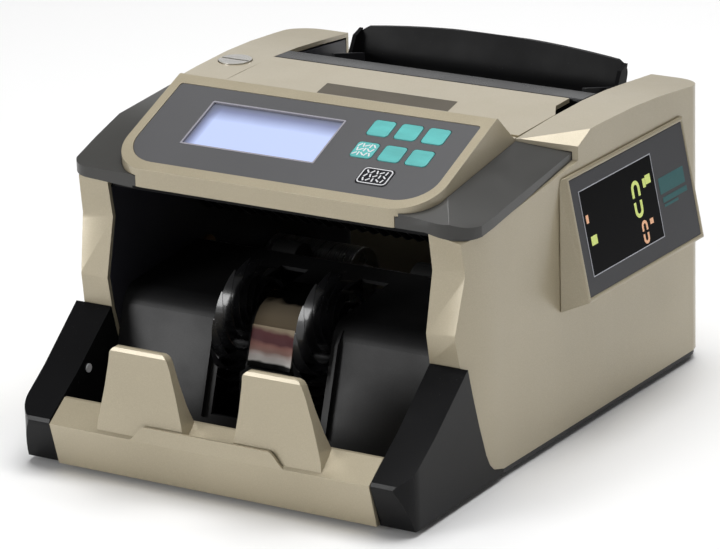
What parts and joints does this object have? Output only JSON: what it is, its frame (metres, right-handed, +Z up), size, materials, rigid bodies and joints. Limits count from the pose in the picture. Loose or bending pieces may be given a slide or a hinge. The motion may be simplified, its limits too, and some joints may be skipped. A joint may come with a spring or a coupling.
{
  "type": "banknote counting machine",
  "caption": "Desktop banknote counter with a top hopper, sloping control panel, front stacker with vaned wheels behind stop fingers, and a second display on its right side.",
  "frame": {"origin": "centre of the machine's footprint at the level the rubber feet stand on", "axes": "+Z up, +Y to the rear (the stacker opening faces -Y), +X to the right seen from the front"},
  "size_m": [0.2778, 0.318, 0.1827],
  "materials": {
    "gold_casing": "champagne gold metallic paint on moulded plastic, satin",
    "gloss_black": "polished black",
    "matt_black": "fine grained black",
    "stacker_grey": "dark grey, satin",
    "overlay_grey": "dark grey printed film",
    "lcd_pane": "clear pane over a pale blue backlight",
    "teal_key": "printed teal film",
    "black_key": "black with a pale outline",
    "polished_metal": "polished",
    "black_rubber": "matt black rubber",
    "red_rubber": "matt",
    "bright_steel": "turned",
    "bronze": "sintered bronze",
    "aluminium_pulley": "turned",
    "circuit_board": "green board"
  },
  "bodies": {
    "casing": {"base_tray": "matt_black", "rubber_feet": "black_rubber", "front_sill": "gold_casing", "left_stop_finger": "gold_casing", "right_stop_finger": "gold_casing", "left_cheek": "gloss_black", "right_cheek": "gloss_black", "left_housing": "gold_casing", "right_housing": "gold_casing", "rear_cover": "gold_casing", "left_shelf": "gloss_black", "right_shelf": "gloss_black", "control_bezel": "gold_casing", "control_overlay": "overlay_grey", "lcd_window": "lcd_pane", "control_board": "circuit_board", "feed_plate": "gloss_black", "back_plate": "gloss_black", "left_frame": "matt_black", "right_frame": "matt_black", "stacker_plate": "stacker_grey", "note_deflector": "polished_metal", "guide_comb": "matt_black", "feed_motor": "bright_steel", "stacker_motor": "bright_steel", "feed_belt": "black_rubber", "stacker_belt": "black_rubber", "side_display": "gold_casing", "side_display_overlay": "overlay_grey", "shaft_bushes": "bronze", "power_supply": "circuit_board", "power_inlet": "matt_black"},
    "cover": {"top_cover": "gold_casing"},
    "key_top_left_cap": {"key_top_left": "teal_key"},
    "key_top_middle_cap": {"key_top_middle": "teal_key"},
    "key_top_right_cap": {"key_top_right": "teal_key"},
    "key_low_left_cap": {"key_low_left": "teal_key"},
    "key_low_middle_cap": {"key_low_middle": "teal_key"},
    "key_low_right_cap": {"key_low_right": "teal_key"},
    "start_key_cap": {"start_key": "black_key"},
    "knob": {"thickness_knob": "bright_steel"},
    "retard_carrier": {"retard_pad": "red_rubber"},
    "left_guide": {"left_note_guide": "matt_black"},
    "right_guide": {"right_note_guide": "matt_black"},
    "rocker": {"power_switch": "matt_black"},
    "feed_roll": {"feed_shaft": "bright_steel", "feed_rollers": "black_rubber", "feed_pulley": "aluminium_pulley"},
    "pickup_roll": {"pickup_shaft": "bright_steel", "pickup_rollers": "black_rubber", "pickup_pulley": "aluminium_pulley"},
    "feed_rotor": {"feed_motor_pulley": "bright_steel"},
    "stacking_wheels": {"impeller_shaft": "bright_steel", "left_impeller": "black_rubber", "right_impeller": "black_rubber", "impeller_pulley": "aluminium_pulley"},
    "delivery_roll": {"delivery_shaft": "bright_steel", "delivery_rollers": "black_rubber", "delivery_pulley": "aluminium_pulley"},
    "stacker_rotor": {"stacker_motor_pulley": "bright_steel"}
  },
  "joints": [
    {"name": "cover_hinge", "type": "hinge", "parent": "casing", "child": "cover", "pos_m": [-0.00741, 0.0022, 0.1645], "axis": [1, 0, 0], "range_deg": [0, 70]},
    {"name": "key_top_left_press", "type": "slide", "parent": "casing", "child": "key_top_left_cap", "axis": [0, 0.36, -0.933], "range_m": [0, 0.0008], "stiffness_N_per_m": 300},
    {"name": "key_top_middle_press", "type": "slide", "parent": "casing", "child": "key_top_middle_cap", "axis": [0, 0.36, -0.933], "range_m": [0, 0.0008], "stiffness_N_per_m": 300},
    {"name": "key_top_right_press", "type": "slide", "parent": "casing", "child": "key_top_right_cap", "axis": [0, 0.36, -0.933], "range_m": [0, 0.0008], "stiffness_N_per_m": 300},
    {"name": "key_low_left_press", "type": "slide", "parent": "casing", "child": "key_low_left_cap", "axis": [0, 0.36, -0.933], "range_m": [0, 0.0008], "stiffness_N_per_m": 300},
    {"name": "key_low_middle_press", "type": "slide", "parent": "casing", "child": "key_low_middle_cap", "axis": [0, 0.36, -0.933], "range_m": [0, 0.0008], "stiffness_N_per_m": 300},
    {"name": "key_low_right_press", "type": "slide", "parent": "casing", "child": "key_low_right_cap", "axis": [0, 0.36, -0.933], "range_m": [0, 0.0008], "stiffness_N_per_m": 300},
    {"name": "start_key_press", "type": "slide", "parent": "casing", "child": "start_key_cap", "axis": [0, 0.36, -0.933], "range_m": [0, 0.0008], "stiffness_N_per_m": 300},
    {"name": "knob_turn", "type": "hinge", "parent": "casing", "child": "knob", "pos_m": [-0.12091, 0.061, 0.16], "axis": [0, 0, 1], "range_deg": [-360, 360]},
    {"name": "retard_slide", "type": "slide", "parent": "casing", "child": "retard_carrier", "axis": [0, -1, 0], "range_m": [-0.0005, 0.0005]},
    {"name": "left_guide_slide", "type": "slide", "parent": "casing", "child": "left_guide", "axis": [1, 0, 0], "range_m": [0, 0.034]},
    {"name": "right_guide_slide", "type": "slide", "parent": "casing", "child": "right_guide", "axis": [-1, 0, 0], "range_m": [0, 0.034]},
    {"name": "power_rocker", "type": "hinge", "parent": "casing", "child": "rocker", "pos_m": [0.02259, 0.1528, 0.04], "axis": [1, 0, 0], "range_deg": [0, 10]},
    {"name": "feed_spin", "type": "hinge", "parent": "casing", "child": "feed_roll", "pos_m": [-0.00741, 0.123, 0.11], "axis": [1, 0, 0], "continuous": true},
    {"name": "pickup_spin", "type": "hinge", "parent": "casing", "child": "pickup_roll", "pos_m": [-0.00741, 0.109, 0.1376], "axis": [1, 0, 0], "continuous": true},
    {"name": "feed_motor_spin", "type": "hinge", "parent": "casing", "child": "feed_rotor", "pos_m": [-0.00741, 0.071, 0.045], "axis": [1, 0, 0], "continuous": true},
    {"name": "impeller_spin", "type": "hinge", "parent": "casing", "child": "stacking_wheels", "pos_m": [-0.00741, -0.073, 0.066], "axis": [1, 0, 0], "continuous": true},
    {"name": "delivery_spin", "type": "hinge", "parent": "casing", "child": "delivery_roll", "pos_m": [-0.00741, 0.001, 0.077], "axis": [1, 0, 0], "continuous": true},
    {"name": "stacker_motor_spin", "type": "hinge", "parent": "casing", "child": "stacker_rotor", "pos_m": [-0.00741, -0.009, 0.038], "axis": [1, 0, 0], "continuous": true}
  ],
  "couplings": [
    {"joint": "pickup_spin", "follows": "feed_spin", "ratio": 1.2727},
    {"joint": "feed_motor_spin", "follows": "feed_spin", "ratio": 2},
    {"joint": "delivery_spin", "follows": "impeller_spin", "ratio": 1.4444},
    {"joint": "stacker_motor_spin", "follows": "impeller_spin", "ratio": 1.8571},
    {"joint": "knob_turn", "follows": "retard_slide", "rad_per_m": 12500}
  ]
}
